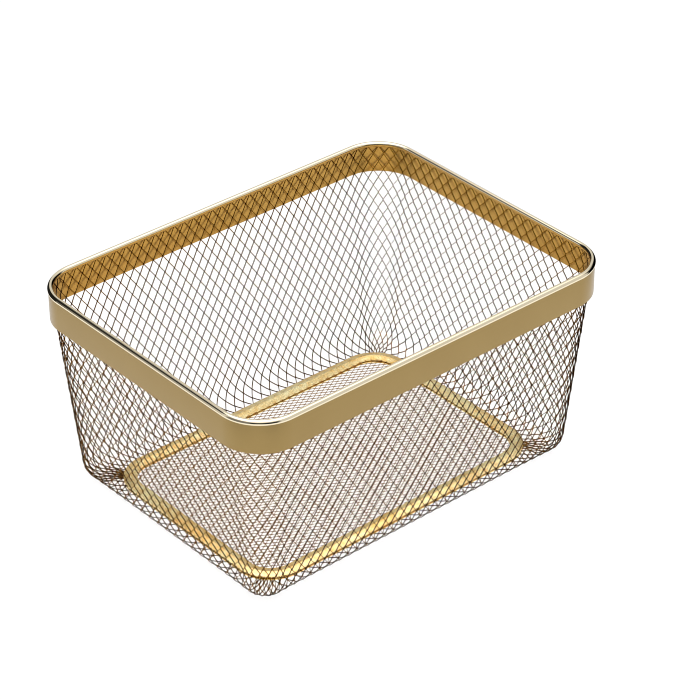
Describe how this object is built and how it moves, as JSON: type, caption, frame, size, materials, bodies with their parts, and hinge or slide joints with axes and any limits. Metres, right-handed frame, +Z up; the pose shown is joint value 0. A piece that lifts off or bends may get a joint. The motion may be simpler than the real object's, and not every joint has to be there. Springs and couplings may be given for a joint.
{
  "type": "wire storage basket",
  "caption": "Rectangular open-topped storage basket of gold expanded-metal mesh, with leaning walls, a rolled strip rim, a rounded lower edge and a mesh floor in a joining ring.",
  "frame": {"origin": "middle of the base, on the surface that the basket stands on", "axes": "+X along the long side, +Y along the short side towards the back, +Z up"},
  "size_m": [0.305, 0.23, 0.152],
  "materials": {
    "rim_metal": "satin brass-coloured plating on steel strip",
    "bead_metal": "mirror-bright brass-coloured plating on steel strip, rolled to a bead",
    "core_wire_steel": "bright drawn steel wire, hidden in the rolled rim",
    "side_mesh_metal": "brass-coloured plating on expanded steel, slightly dulled in the cut edges",
    "floor_mesh_metal": "brass-coloured plating on fine expanded steel",
    "ring_metal": "bright brass-coloured plating on steel strip, faintly dimpled by spot welding"
  },
  "bodies": {
    "root": {"rim_band": "rim_metal", "rim_bead": "bead_metal", "rim_core_wire": "core_wire_steel", "wall_mesh_front": "side_mesh_metal", "wall_mesh_back": "side_mesh_metal", "wall_mesh_left": "side_mesh_metal", "wall_mesh_right": "side_mesh_metal", "corner_mesh_front_left": "side_mesh_metal", "corner_mesh_front_right": "side_mesh_metal", "corner_mesh_back_left": "side_mesh_metal", "corner_mesh_back_right": "side_mesh_metal", "lower_bend_front": "side_mesh_metal", "lower_bend_back": "side_mesh_metal", "lower_bend_left": "side_mesh_metal", "lower_bend_right": "side_mesh_metal", "corner_bend_front_left": "side_mesh_metal", "corner_bend_front_right": "side_mesh_metal", "corner_bend_back_left": "side_mesh_metal", "corner_bend_back_right": "side_mesh_metal", "base_ring_upper": "ring_metal", "base_ring_lower": "ring_metal", "ring_spot_welds": "ring_metal", "floor_mesh": "floor_mesh_metal"}
  },
  "joints": []
}
